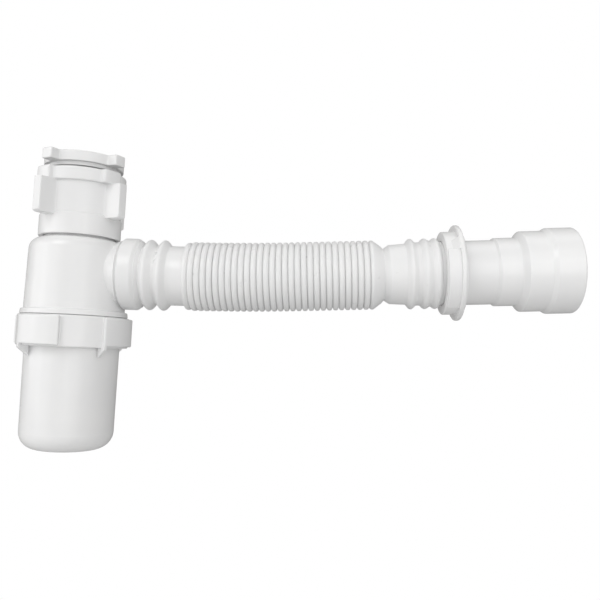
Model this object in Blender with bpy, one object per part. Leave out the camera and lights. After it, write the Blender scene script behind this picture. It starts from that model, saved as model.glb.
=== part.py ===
"""Bottle trap for a basin waste, with a corrugated flexible outlet hose and a stepped 40/50 mm drain end.

The bottle stands on the Z axis. The outlet leaves it along +X. Z is zero on the face of the inlet washer,
where the threaded end of the basin waste lands. All sizes are in metres.
"""

import math

import bmesh
import bpy
from mathutils import Matrix, Vector

# Clearances
SEAT = 0.0003
THREAD_PLAY = 0.0004
BORE_PLAY = 0.0004

# Facets round a piece
ROUND = 26
HOSE_ROUND = 16
BOSS_ROUND = 20
UNION_ROUND = 30
SHARP_ANGLE = math.radians(34)

# Inlet: washer, tube with its flange, and the nut that pulls the flange up to the waste
WASHER_THICKNESS = 0.0014
WASHER_WIDTH = 0.0060
INLET_THREAD_RADIUS = 0.0210
INLET_THREAD_DEPTH = 0.0033
INLET_WEB = 0.0020
INLET_RING_RADIUS = 0.0243
INLET_RING_HEIGHT = 0.0065
INLET_SKIRT_RADIUS = 0.0224
INLET_LUG_RADIUS = 0.0307
INLET_LUG_WIDTH = 0.0083
INLET_LUG_ANGLE = -25.0
TUBE_RADIUS = 0.0160
TUBE_WALL = 0.0016
TUBE_FLANGE = 0.0016
TUBE_LENGTH = 0.1460

# Neck nut: flanged top, finned waist and plain skirt
NECK_STANDOFF = 0.0015
NECK_WEB = 0.0025
NECK_FLANGE_HEIGHT = 0.0081
NECK_FLANGE_RADIUS = 0.0264
NECK_LUG_RADIUS = 0.0298
NECK_LUG_WIDTH = 0.0115
NECK_LUG_ANGLE = -32.0
NECK_WAIST_HEIGHT = 0.0190
NECK_WAIST_RADIUS = 0.0243
NECK_WING_RADIUS = 0.0352
NECK_WING_THICKNESS = 0.0060
NECK_WING_ROOT = 0.0068
NECK_WING_CHAMFER = 0.0035
NECK_WING_ANGLE = -22.0
NECK_SKIRT_HEIGHT = 0.0136
NECK_SKIRT_RADIUS = 0.0250
NECK_SKIRT_CHAMFER = 0.0010

# Slip ring and wedge seal round the tube
SLIP_RING_THICKNESS = 0.0016
SEAL_RIM = 0.0015
SEAL_DEPTH = 0.0065
SEAL_SLOPE = 0.4

# Trap body
NECK_THREAD_RADIUS = 0.0215
NECK_WALL = 0.0026
NECK_MOUTH_CHAMFER = 0.0011
SHOULDER_GAP = 0.0012
SHOULDER_ROUND = 0.0074
BODY_HEIGHT = 0.0445
BODY_TOP_RADIUS = 0.0297
BODY_BOTTOM_RADIUS = 0.0304
BODY_WALL = 0.0022
LIP_HEIGHT = 0.0033
LIP_RADIUS = 0.0325
LIP_TAPER = 0.0005
SKIRT_RADIUS = 0.0310
SKIRT_LENGTH = 0.0108
SKIRT_WALL = 0.0024

# Cup, its flange and its seal
CUP_SEAL_THICKNESS = 0.0020
CUP_FLANGE = 0.0025
CUP_RADIUS = 0.0285
CUP_DRAFT = 0.0005
CUP_HEIGHT = 0.0686
CUP_WALL = 0.0020
CUP_CORNER = 0.0105

# Union nut that holds the cup
UNION_PANEL_RADIUS = 0.0334
UNION_WEB = 0.0030
UNION_PAD_RADIUS = 0.0364
UNION_PAD_SPAN = 44.5
UNION_PAD_ANGLE = -13.75
UNION_PAD_TOP = 0.0006
UNION_PAD_BOTTOM = 0.0010
UNION_PAD_COUNT = 4
UNION_FOOT_THICKNESS = 0.0022
UNION_FOOT_HEIGHT = 0.0057
UNION_FOOT_CHAMFER = 0.0012

# Outlet boss and barbed spigot of the body
OUTLET_DROP = 0.0689
CUFF_PLANE = 0.0305
BOSS_RADIUS = 0.0176
BOSS_COLLAR_RADIUS = 0.0218
BOSS_FLARE = 0.0046
BOSS_BORE = 0.0152
SPIGOT_RADIUS = 0.0203
SPIGOT_WALL = 0.0024
SPIGOT_LENGTH = 0.0112
BARB_HEIGHT = 0.0005
BARB_LENGTH = 0.0024
BARB_COUNT = 2

# Hose: cuff, two bellows ridges, plain stretch, corrugations and ribbed end
HOSE_WALL = 0.0012
CUFF_RADIUS = 0.0228
CUFF_LENGTH = 0.0122
CUFF_LIP = 0.0016
CUFF_ROUND = 0.0014
RIDGE_RADIUS = 0.0225
RIDGE_ROOT_RADIUS = 0.0191
RIDGE_PITCH = 0.0089
RIDGE_WIDTH = 0.0064
PLAIN_RADIUS = 0.01905
PLAIN_LENGTH = 0.0093
FOLD_COUNT = 31
FOLD_PITCH = 0.00381
FOLD_CREST_RADIUS = 0.0216
FOLD_ROOT_RADIUS = 0.0197
NECK_DOWN_RADIUS = 0.0161
NECK_DOWN_LENGTH = 0.0052
CONE_LENGTH = 0.0128
CONE_RADIUS = 0.0190
NOTCH_RISE = 0.0036
NOTCH_CORNER_RADIUS = 0.0184
END_RIB_COUNT = 3
END_RIB_PITCH = 0.0076
END_RIB_RADIUS = 0.0222
END_RIB_ROOT = 0.0195
END_RIB_WIDTH = 0.0044
END_FLANGE_RADIUS = 0.0223
END_FLANGE = 0.0023
BEND_START = 0.0245
BEND_LENGTH = 0.0880
BEND_ANGLE = math.radians(3.6)
FLEX_CENTRE = 0.0360

# Flange nut at the end of the hose
END_NUT_WEB = 0.0025
END_NUT_COLLAR_RADIUS = 0.0258
END_NUT_FLANGE_RADIUS = 0.0297
END_NUT_FLANGE = 0.0028
END_NUT_FLANGE_EDGE = 0.0006
END_NUT_COLLAR_LENGTH = 0.0075
END_NUT_HUB = 0.0016
END_PAD_RADIUS = 0.0279
END_PAD_COUNT = 2
END_PAD_SPAN = math.radians(82)
END_PAD_ANGLE = math.radians(-75)
END_STOP_SPAN = math.radians(18)
END_STOP_LENGTH = 0.0035
END_SEAL_THICKNESS = 0.0015

# Stepped drain end
DRAIN_THREAD_RADIUS = 0.0225
DRAIN_WALL = 0.0022
DRAIN_RIM_WALL = 0.0030
DRAIN_STEP_RADII = (0.0200, 0.0212, 0.0250, 0.0266)
DRAIN_STEP_LENGTHS = (0.0193, 0.0140, 0.0165, 0.0185)
DRAIN_STEP_CHAMFER = 0.0008
DRAIN_RIM_ROUND = 0.0018

# Heights that follow from the stack at the inlet
TUBE_FLANGE_TOP = -WASHER_THICKNESS - SEAT
INLET_WEB_TOP = TUBE_FLANGE_TOP - TUBE_FLANGE - SEAT
INLET_BOTTOM = INLET_WEB_TOP - INLET_WEB
NECK_TOP = INLET_BOTTOM - NECK_STANDOFF
NECK_WEB_BOTTOM = NECK_TOP - NECK_WEB
SLIP_RING_TOP = NECK_WEB_BOTTOM - SEAT
SEAL_TOP = SLIP_RING_TOP - SLIP_RING_THICKNESS - SEAT
BODY_MOUTH = SEAL_TOP - SEAL_RIM - SEAT
NECK_FLANGE_BOTTOM = NECK_TOP - NECK_FLANGE_HEIGHT
NECK_WAIST_BOTTOM = NECK_FLANGE_BOTTOM - NECK_WAIST_HEIGHT
NECK_BOTTOM = NECK_WAIST_BOTTOM - NECK_SKIRT_HEIGHT

# Heights that follow down the body and the cup
SHOULDER_TOP = NECK_BOTTOM - SHOULDER_GAP
LIP_TOP = SHOULDER_TOP - BODY_HEIGHT
LIP_BOTTOM = LIP_TOP - LIP_HEIGHT
SKIRT_BOTTOM = LIP_BOTTOM - SKIRT_LENGTH
CUP_SEAL_TOP = SKIRT_BOTTOM - SEAT
CUP_TOP = CUP_SEAL_TOP - CUP_SEAL_THICKNESS - SEAT
UNION_TOP = LIP_BOTTOM - SEAT
UNION_WEB_TOP = CUP_TOP - CUP_FLANGE - SEAT
UNION_BOTTOM = UNION_WEB_TOP - UNION_WEB

# Radii that follow from their neighbours. The flats of the hose lie inside its corners by this factor
HOSE_FLAT = math.cos(math.pi / HOSE_ROUND)
TUBE_BORE = TUBE_RADIUS + BORE_PLAY
TUBE_FLANGE_RADIUS = INLET_THREAD_RADIUS - BORE_PLAY
NUT_THREAD_RADIUS = NECK_THREAD_RADIUS + THREAD_PLAY
UNION_THREAD_RADIUS = SKIRT_RADIUS + THREAD_PLAY
CUP_FLANGE_RADIUS = SKIRT_RADIUS - SEAT
CUFF_BORE = (SPIGOT_RADIUS + BARB_HEIGHT + SEAT) / HOSE_FLAT
CUFF_MOUTH = (SPIGOT_RADIUS + SEAT) / HOSE_FLAT
END_NUT_BORE = END_RIB_ROOT + BORE_PLAY
END_NUT_THREAD_RADIUS = DRAIN_THREAD_RADIUS + THREAD_PLAY
HOSE_BORE = PLAIN_RADIUS - HOSE_WALL

# Distances along the outlet from the cuff plane
HOSE_START = SEAT
RIDGES_START = CUFF_LENGTH
PLAIN_START = RIDGES_START + 2 * RIDGE_PITCH
FOLDS_START = PLAIN_START + PLAIN_LENGTH
FOLDS_END = FOLDS_START + FOLD_COUNT * FOLD_PITCH
CONE_START = FOLDS_END + NECK_DOWN_LENGTH
RIBS_START = CONE_START + CONE_LENGTH
RIBS_END = RIBS_START + END_RIB_COUNT * END_RIB_PITCH
END_NUT_START = RIBS_END + SEAT
HOSE_FLANGE_START = END_NUT_START + END_NUT_WEB + SEAT
HOSE_END = HOSE_FLANGE_START + END_FLANGE
END_SEAL_START = HOSE_END + SEAT
DRAIN_START = END_SEAL_START + END_SEAL_THICKNESS + SEAT
END_NUT_FLANGE_START = END_NUT_START + END_NUT_COLLAR_LENGTH
END_NUT_END = END_NUT_FLANGE_START + END_NUT_FLANGE + END_NUT_HUB
BEND_RADIUS = BEND_LENGTH / BEND_ANGLE


def plastic(name, colour, roughness):
    """A dielectric material of one colour."""
    material = bpy.data.materials.new(name)
    material.use_nodes = True
    shader = material.node_tree.nodes["Principled BSDF"]
    shader.inputs["Base Color"].default_value = (*colour, 1)
    shader.inputs["Roughness"].default_value = roughness
    shader.inputs["Metallic"].default_value = 0
    return material


def arc(centre, radius, start, end, steps):
    """Points of an arc in the (radius, height) plane, angles in degrees from the radial direction."""
    points = []
    for step in range(steps + 1):
        angle = math.radians(start + (end - start) * step / steps)
        points.append((centre[0] + radius * math.cos(angle), centre[1] + radius * math.sin(angle)))
    return points


def finish(name, mesh, material):
    """Turns the edited mesh into a smooth-shaded object of that name."""
    bmesh.ops.remove_doubles(mesh, verts=mesh.verts, dist=1e-6)
    bmesh.ops.recalc_face_normals(mesh, faces=mesh.faces)
    data = bpy.data.meshes.new(name)
    mesh.to_mesh(data)
    mesh.free()
    data.materials.append(material)
    data.shade_smooth()
    data.set_sharp_from_angle(angle=SHARP_ANGLE)
    made = bpy.data.objects.new(name, data)
    bpy.context.scene.collection.objects.link(made)
    return made


def turned(name, profile, material, facets=ROUND, to_axis=False):
    """Spins a (radius, height) profile about Z: a ring, or a piece whose profile ends lie on the axis."""
    mesh = bmesh.new()
    corners = [mesh.verts.new((radius, 0, height)) for radius, height in profile]
    edges = [mesh.edges.new(pair) for pair in zip(corners, corners[1:])]
    if not to_axis:
        edges.append(mesh.edges.new((corners[-1], corners[0])))
    bmesh.ops.spin(
        mesh,
        geom=corners + edges,
        cent=(0, 0, 0),
        axis=(0, 0, 1),
        angle=2 * math.pi,
        steps=facets,
        use_merge=True,
    )
    return finish(name, mesh, material)


def fins(name, outline, root, tip, angles, material):
    """Radial fins with a (radius, height) outline, as thick as root inside and as tip outside."""
    mesh = bmesh.new()
    radii = [radius for radius, height in outline]
    inner = min(radii)
    reach = max(radii) - inner
    for angle in angles:
        turn = Matrix.Rotation(angle, 3, "Z")
        faces = []
        for side in (-0.5, 0.5):
            points = []
            for radius, height in outline:
                thickness = root + (tip - root) * (radius - inner) / reach
                points.append(mesh.verts.new(turn @ Vector((radius, side * thickness, height))))
            faces.append(mesh.faces.new(points))
        near, far = (face.verts for face in faces)
        for i in range(len(outline)):
            mesh.faces.new((near[i - 1], near[i], far[i], far[i - 1]))
    return finish(name, mesh, material)


def sectors(name, radii, heights, span, angles, material, steps=8):
    """Blocks between two radii and two heights that each span an angle about Z."""
    mesh = bmesh.new()
    for middle in angles:
        rows = []
        for step in range(steps + 1):
            turn = Matrix.Rotation(middle + span * (step / steps - 0.5), 3, "Z")
            corners = ((0, 0), (1, 0), (1, 1), (0, 1))
            rows.append([mesh.verts.new(turn @ Vector((radii[i], 0, heights[j]))) for i, j in corners])
        mesh.faces.new(rows[0])
        mesh.faces.new(rows[-1])
        for row, following in zip(rows, rows[1:]):
            for i in range(4):
                mesh.faces.new((row[i - 1], row[i], following[i], following[i - 1]))
    return finish(name, mesh, material)


def combine(target, tool, operation):
    """Adds a Boolean of a hidden tool object to the target."""
    tool.hide_render = True
    tool.display_type = "WIRE"
    tool.parent = target
    step = target.modifiers.new(tool.name, "BOOLEAN")
    step.operation = operation
    step.solver = "EXACT"
    step.object = tool


def around(first_degrees, count):
    """Evenly spaced angles about the axis."""
    return [math.radians(first_degrees) + 2 * math.pi * i / count for i in range(count)]


def outlet_point(distance):
    """Point on the outlet's centre line, in the XZ plane, and the line's rise there."""
    start = Vector((CUFF_PLANE, 0, -OUTLET_DROP))
    bent = min(max(distance - BEND_START, 0), BEND_LENGTH)
    rise = bent / BEND_RADIUS
    run = min(distance, BEND_START) + BEND_RADIUS * math.sin(rise)
    climb = BEND_RADIUS * (1 - math.cos(rise))
    beyond = max(distance - BEND_START - BEND_LENGTH, 0)
    run += beyond * math.cos(rise)
    climb += beyond * math.sin(rise)
    return start + Vector((run, 0, climb)), rise


def place_on_outlet(piece, distance):
    """Stands a piece that was turned about Z on the centre line, Z along the outlet."""
    point, rise = outlet_point(distance)
    piece.location = point
    piece.rotation_euler = (0, math.pi / 2 - rise, 0)


def bend_along_outlet(piece, origin):
    """Carries a mesh turned about Z onto the curved centre line, measured from the given origin."""
    for vertex in piece.data.vertices:
        across, sideways, distance = vertex.co
        point, rise = outlet_point(distance)
        normal = Vector((-math.sin(rise), 0, math.cos(rise)))
        vertex.co = point - across * normal + Vector((0, sideways, 0)) - origin
    piece.location = origin


def ridge(start, width, root, crest):
    """A rounded ridge of the hose's outline, from root to root."""
    shape = ((0, 0), (0.14, 0.72), (0.34, 1), (0.66, 1), (0.86, 0.72), (1, 0))
    return [(root + (crest - root) * height, start + width * place) for place, height in shape]


def make_washer(rubber):
    outer = TUBE_FLANGE_RADIUS
    inner = outer - WASHER_WIDTH
    profile = [(inner, 0), (outer, 0), (outer, -WASHER_THICKNESS), (inner, -WASHER_THICKNESS)]
    return turned("inlet_washer", profile, rubber)


def make_inlet_tube(white):
    bore = TUBE_RADIUS - TUBE_WALL
    flange_bottom = TUBE_FLANGE_TOP - TUBE_FLANGE
    end = TUBE_FLANGE_TOP - TUBE_LENGTH
    profile = [
        (bore, TUBE_FLANGE_TOP),
        (TUBE_FLANGE_RADIUS, TUBE_FLANGE_TOP),
        (TUBE_FLANGE_RADIUS, flange_bottom),
        (TUBE_RADIUS, flange_bottom),
        (TUBE_RADIUS, end + TUBE_WALL / 2),
        (TUBE_RADIUS - TUBE_WALL / 2, end),
        (bore, end),
    ]
    return turned("inlet_tube", profile, white)


def make_inlet_nut(white):
    ring_bottom = INLET_THREAD_DEPTH - INLET_RING_HEIGHT
    thread = INLET_THREAD_RADIUS
    profile = [
        (thread, INLET_THREAD_DEPTH),
        (INLET_RING_RADIUS, INLET_THREAD_DEPTH),
        (INLET_RING_RADIUS, ring_bottom),
        (INLET_SKIRT_RADIUS, ring_bottom),
        (INLET_SKIRT_RADIUS, INLET_BOTTOM),
        (TUBE_BORE, INLET_BOTTOM),
        (TUBE_BORE, INLET_WEB_TOP),
        (thread, INLET_WEB_TOP),
    ]
    nut = turned("inlet_nut", profile, white)
    inside = (thread + INLET_RING_RADIUS) / 2
    top = INLET_THREAD_DEPTH
    tip = INLET_LUG_RADIUS
    outline = [(inside, ring_bottom), (tip, ring_bottom), (tip, top), (inside, top)]
    angles = around(INLET_LUG_ANGLE, 4)
    lugs = fins("inlet_nut_lugs", outline, INLET_LUG_WIDTH, INLET_LUG_WIDTH, angles, white)
    combine(nut, lugs, "UNION")
    return nut


def make_neck_nut(white):
    profile = [
        (TUBE_BORE, NECK_TOP),
        (NECK_FLANGE_RADIUS, NECK_TOP),
        (NECK_FLANGE_RADIUS, NECK_FLANGE_BOTTOM),
        (NECK_WAIST_RADIUS, NECK_FLANGE_BOTTOM),
        (NECK_WAIST_RADIUS, NECK_WAIST_BOTTOM),
        (NECK_SKIRT_RADIUS, NECK_WAIST_BOTTOM - NECK_SKIRT_CHAMFER),
        (NECK_SKIRT_RADIUS, NECK_BOTTOM),
        (NUT_THREAD_RADIUS, NECK_BOTTOM),
        (NUT_THREAD_RADIUS, NECK_WEB_BOTTOM),
        (TUBE_BORE, NECK_WEB_BOTTOM),
    ]
    nut = turned("neck_nut", profile, white)
    inside = (NUT_THREAD_RADIUS + NECK_WAIST_RADIUS) / 2
    lug_outline = [
        (inside, NECK_FLANGE_BOTTOM),
        (NECK_LUG_RADIUS, NECK_FLANGE_BOTTOM),
        (NECK_LUG_RADIUS, NECK_TOP),
        (inside, NECK_TOP),
    ]
    angles = around(NECK_LUG_ANGLE, 4)
    lugs = fins("neck_nut_lugs", lug_outline, NECK_LUG_WIDTH, NECK_LUG_WIDTH, angles, white)
    combine(nut, lugs, "UNION")
    wing_top = NECK_FLANGE_BOTTOM + NECK_FLANGE_HEIGHT / 2
    wing_outline = [
        (inside, NECK_WAIST_BOTTOM),
        (NECK_WING_RADIUS - NECK_WING_CHAMFER, NECK_WAIST_BOTTOM),
        (NECK_WING_RADIUS, NECK_WAIST_BOTTOM + NECK_WING_CHAMFER),
        (NECK_WING_RADIUS, NECK_FLANGE_BOTTOM),
        (NECK_FLANGE_RADIUS - SEAT, NECK_FLANGE_BOTTOM),
        (NECK_FLANGE_RADIUS - SEAT, wing_top),
        (inside, wing_top),
    ]
    angles = around(NECK_WING_ANGLE, 4)
    wings = fins("neck_nut_wings", wing_outline, NECK_WING_ROOT, NECK_WING_THICKNESS, angles, white)
    combine(nut, wings, "UNION")
    return nut


def make_slip_ring(white):
    outer = NUT_THREAD_RADIUS - BORE_PLAY
    bottom = SLIP_RING_TOP - SLIP_RING_THICKNESS
    profile = [(TUBE_BORE, SLIP_RING_TOP), (outer, SLIP_RING_TOP), (outer, bottom), (TUBE_BORE, bottom)]
    return turned("neck_slip_ring", profile, white)


def make_neck_seal(rubber):
    inner = TUBE_RADIUS + SEAT
    outer = NUT_THREAD_RADIUS - BORE_PLAY
    rim_bottom = SEAL_TOP - SEAL_RIM
    cone_top = NECK_THREAD_RADIUS - NECK_WALL + NECK_MOUTH_CHAMFER - THREAD_PLAY
    cone_bottom = cone_top - SEAL_SLOPE * (SEAL_DEPTH - SEAL_RIM)
    profile = [
        (inner, SEAL_TOP),
        (outer, SEAL_TOP),
        (outer, rim_bottom),
        (cone_top, rim_bottom),
        (cone_bottom, SEAL_TOP - SEAL_DEPTH),
        (inner, SEAL_TOP - SEAL_DEPTH),
    ]
    return turned("neck_seal", profile, rubber)


def make_body(white):
    """The body is a filled turned shape with the outlet boss added, then the cavity and the bore cut out."""
    shoulder = BODY_TOP_RADIUS - SHOULDER_ROUND
    outer_round = arc((shoulder, SHOULDER_TOP - SHOULDER_ROUND), SHOULDER_ROUND, 90, 0, 4)
    outside = [
        (0, BODY_MOUTH),
        (NECK_THREAD_RADIUS, BODY_MOUTH),
        (NECK_THREAD_RADIUS, SHOULDER_TOP),
        *outer_round,
        (BODY_BOTTOM_RADIUS, LIP_TOP),
        (LIP_RADIUS - LIP_TAPER, LIP_TOP),
        (LIP_RADIUS, LIP_BOTTOM),
        (SKIRT_RADIUS, LIP_BOTTOM),
        (SKIRT_RADIUS, SKIRT_BOTTOM),
        (0, SKIRT_BOTTOM),
    ]
    body = turned("trap_body", outside, white, to_axis=True)

    collar = arc((BOSS_RADIUS + BOSS_FLARE, CUFF_PLANE - BOSS_FLARE), BOSS_FLARE, 180, 90, 4)
    spigot = [(SPIGOT_RADIUS, CUFF_PLANE)]
    barb_pitch = (SPIGOT_LENGTH - CUFF_LIP - 2 * SEAT) / BARB_COUNT
    for i in range(BARB_COUNT):
        base = CUFF_PLANE + CUFF_LIP + 2 * SEAT + i * barb_pitch
        spigot.append((SPIGOT_RADIUS, base))
        spigot.append((SPIGOT_RADIUS + BARB_HEIGHT, base + SEAT))
        spigot.append((SPIGOT_RADIUS, base + BARB_LENGTH))
    spigot_end = CUFF_PLANE + SPIGOT_LENGTH
    profile = [(0, BODY_TOP_RADIUS / 2), (BOSS_RADIUS, BODY_TOP_RADIUS / 2)]
    profile += [point for point in collar if point[0] < BOSS_COLLAR_RADIUS]
    profile += [(BOSS_COLLAR_RADIUS, CUFF_PLANE), *spigot, (SPIGOT_RADIUS, spigot_end), (0, spigot_end)]
    boss = turned("body_boss", profile, white, facets=BOSS_ROUND, to_axis=True)
    boss.location = (0, 0, -OUTLET_DROP)
    boss.rotation_euler = (0, math.pi / 2, 0)
    combine(body, boss, "UNION")

    neck_bore = NECK_THREAD_RADIUS - NECK_WALL
    chamfer_depth = NECK_MOUTH_CHAMFER / SEAL_SLOPE
    inner_round = arc((shoulder, SHOULDER_TOP - SHOULDER_ROUND), SHOULDER_ROUND - BODY_WALL, 90, 0, 4)
    inside = [
        (0, BODY_MOUTH + BODY_WALL),
        (neck_bore + NECK_MOUTH_CHAMFER, BODY_MOUTH + BODY_WALL),
        (neck_bore + NECK_MOUTH_CHAMFER, BODY_MOUTH),
        (neck_bore, BODY_MOUTH - chamfer_depth),
        (neck_bore, SHOULDER_TOP - BODY_WALL),
        *inner_round,
        (BODY_BOTTOM_RADIUS - BODY_WALL, LIP_TOP),
        (SKIRT_RADIUS - SKIRT_WALL, LIP_BOTTOM),
        (SKIRT_RADIUS - SKIRT_WALL, SKIRT_BOTTOM - BODY_WALL),
        (0, SKIRT_BOTTOM - BODY_WALL),
    ]
    combine(body, turned("body_cavity", inside, white, to_axis=True), "DIFFERENCE")

    spigot_bore = SPIGOT_RADIUS - SPIGOT_WALL
    through = [
        (0, 0),
        (BOSS_BORE, 0),
        (BOSS_BORE, CUFF_PLANE - BOSS_FLARE / 2),
        (spigot_bore, CUFF_PLANE + CUFF_LIP),
        (spigot_bore, spigot_end + BODY_WALL),
        (0, spigot_end + BODY_WALL),
    ]
    bore = turned("body_bore", through, white, facets=BOSS_ROUND, to_axis=True)
    bore.location = boss.location
    bore.rotation_euler = boss.rotation_euler
    combine(body, bore, "DIFFERENCE")
    return body


def make_cup_seal(rubber):
    inner = SKIRT_RADIUS - SKIRT_WALL
    bottom = CUP_SEAL_TOP - CUP_SEAL_THICKNESS
    outer = CUP_FLANGE_RADIUS
    profile = [(inner, CUP_SEAL_TOP), (outer, CUP_SEAL_TOP), (outer, bottom), (inner, bottom)]
    return turned("cup_seal", profile, rubber)


def make_cup(white):
    floor = CUP_TOP - CUP_HEIGHT
    low = CUP_RADIUS - CUP_DRAFT
    centre = (low - CUP_CORNER, floor + CUP_CORNER)
    inner_corner = arc(centre, CUP_CORNER - CUP_WALL, -90, 0, 5)
    outer_corner = arc(centre, CUP_CORNER, 0, -90, 6)
    profile = [
        (0, floor + CUP_WALL),
        *inner_corner,
        (CUP_RADIUS - CUP_WALL, CUP_TOP),
        (CUP_FLANGE_RADIUS, CUP_TOP),
        (CUP_FLANGE_RADIUS, CUP_TOP - CUP_FLANGE),
        (CUP_RADIUS, CUP_TOP - CUP_FLANGE),
        *outer_corner,
        (0, floor),
    ]
    return turned("cup", profile, white, to_axis=True)


def make_union_nut(white):
    bore = CUP_RADIUS + BORE_PLAY
    profile = [
        (UNION_THREAD_RADIUS, UNION_TOP),
        (UNION_PANEL_RADIUS, UNION_TOP),
        (UNION_PANEL_RADIUS, UNION_BOTTOM),
        (bore, UNION_BOTTOM),
        (bore, UNION_WEB_TOP),
        (UNION_THREAD_RADIUS, UNION_WEB_TOP),
    ]
    nut = turned("union_nut", profile, white, facets=UNION_ROUND)
    root = (UNION_THREAD_RADIUS + UNION_PANEL_RADIUS) / 2
    top = UNION_TOP - UNION_PAD_TOP
    heights = (UNION_BOTTOM + UNION_PAD_BOTTOM, top)
    span = math.radians(UNION_PAD_SPAN)
    middles = around(UNION_PAD_ANGLE, UNION_PAD_COUNT)
    pads = sectors("union_nut_pads", (root, UNION_PAD_RADIUS), heights, span, middles, white, steps=3)
    combine(nut, pads, "UNION")
    foot_inside = bore + SEAT
    foot_bottom = UNION_BOTTOM - UNION_FOOT_HEIGHT
    foot = [
        (root, UNION_BOTTOM + UNION_WEB / 2),
        (foot_inside, UNION_BOTTOM + UNION_WEB / 2),
        (foot_inside, foot_bottom),
        (UNION_PAD_RADIUS - SEAT, UNION_BOTTOM - UNION_FOOT_CHAMFER),
        (UNION_PAD_RADIUS - SEAT, top - UNION_WEB),
        (root, top - UNION_WEB),
    ]
    thickness = UNION_FOOT_THICKNESS
    inset = UNION_PAD_SPAN / 2 - math.degrees(thickness / UNION_PAD_RADIUS)
    angles = around(UNION_PAD_ANGLE - inset, UNION_PAD_COUNT)
    feet = fins("union_nut_feet", foot, thickness, thickness, angles, white)
    combine(nut, feet, "UNION")
    return nut


def make_hose(hose_white):
    """The hose is moulded in one: its outline is turned straight, then laid along the centre line."""
    wall = HOSE_WALL
    outside = [
        (CUFF_RADIUS - CUFF_ROUND, HOSE_START),
        (CUFF_RADIUS, HOSE_START + CUFF_ROUND),
        (CUFF_RADIUS, CUFF_LENGTH - 2 * CUFF_ROUND),
        (CUFF_RADIUS - CUFF_ROUND, CUFF_LENGTH - CUFF_ROUND / 2),
        (RIDGE_ROOT_RADIUS, CUFF_LENGTH),
    ]
    inside = [
        (CUFF_MOUTH, HOSE_START),
        (CUFF_MOUTH, HOSE_START + CUFF_LIP),
        (CUFF_BORE, HOSE_START + CUFF_LIP),
        (CUFF_BORE, CUFF_LENGTH - 2 * SEAT),
        (RIDGE_ROOT_RADIUS - wall, CUFF_LENGTH + wall),
    ]
    for i in range(2):
        start = RIDGES_START + i * RIDGE_PITCH + (RIDGE_PITCH - RIDGE_WIDTH) / 2
        outside += ridge(start, RIDGE_WIDTH, RIDGE_ROOT_RADIUS, RIDGE_RADIUS)
        inside.append((RIDGE_ROOT_RADIUS - wall, start + wall / 2))
        inside.append((RIDGE_RADIUS - wall, start + RIDGE_WIDTH / 2))
        inside.append((RIDGE_ROOT_RADIUS - wall, start + RIDGE_WIDTH - wall / 2))
    outside.append((PLAIN_RADIUS, PLAIN_START))
    inside.append((HOSE_BORE, PLAIN_START))
    for i in range(FOLD_COUNT):
        root = FOLDS_START + i * FOLD_PITCH
        outside.append((FOLD_ROOT_RADIUS, root))
        outside.append((FOLD_CREST_RADIUS, root + 0.30 * FOLD_PITCH))
        outside.append((FOLD_CREST_RADIUS, root + 0.78 * FOLD_PITCH))
        inside.append((FOLD_ROOT_RADIUS - wall, root))
        inside.append((FOLD_CREST_RADIUS - wall, root + 0.54 * FOLD_PITCH))
    corner = CONE_START + NOTCH_RISE
    outside += [
        (NECK_DOWN_RADIUS, CONE_START),
        (NOTCH_CORNER_RADIUS, corner),
        (CONE_RADIUS, RIBS_START),
    ]
    inside += [
        (NECK_DOWN_RADIUS - wall, CONE_START),
        (NOTCH_CORNER_RADIUS - wall, corner + wall / 2),
    ]
    for i in range(END_RIB_COUNT):
        start = RIBS_START + i * END_RIB_PITCH + (END_RIB_PITCH - END_RIB_WIDTH) / 2
        root = CONE_RADIUS if i == 0 else END_RIB_ROOT
        outside += ridge(start, END_RIB_WIDTH, END_RIB_ROOT, END_RIB_RADIUS)
        inside.append((root - wall, start))
        inside.append((END_RIB_RADIUS - wall, start + END_RIB_WIDTH / 2))
        inside.append((END_RIB_ROOT - wall, start + END_RIB_WIDTH))
    outside += [
        (END_RIB_ROOT, HOSE_FLANGE_START),
        (END_FLANGE_RADIUS, HOSE_FLANGE_START),
        (END_FLANGE_RADIUS, HOSE_END),
    ]
    inside.append((END_RIB_ROOT - wall, HOSE_END))
    hose = turned("hose", outside + inside[::-1], hose_white, facets=HOSE_ROUND)
    bend_along_outlet(hose, outlet_point(FLEX_CENTRE)[0])
    return hose


def make_end_seal(rubber):
    outer = DRAIN_THREAD_RADIUS
    inner = DRAIN_STEP_RADII[0] - DRAIN_WALL
    profile = [(inner, END_SEAL_THICKNESS), (outer, END_SEAL_THICKNESS), (outer, 0), (inner, 0)]
    seal = turned("hose_end_seal", profile, rubber)
    place_on_outlet(seal, END_SEAL_START)
    return seal


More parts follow.
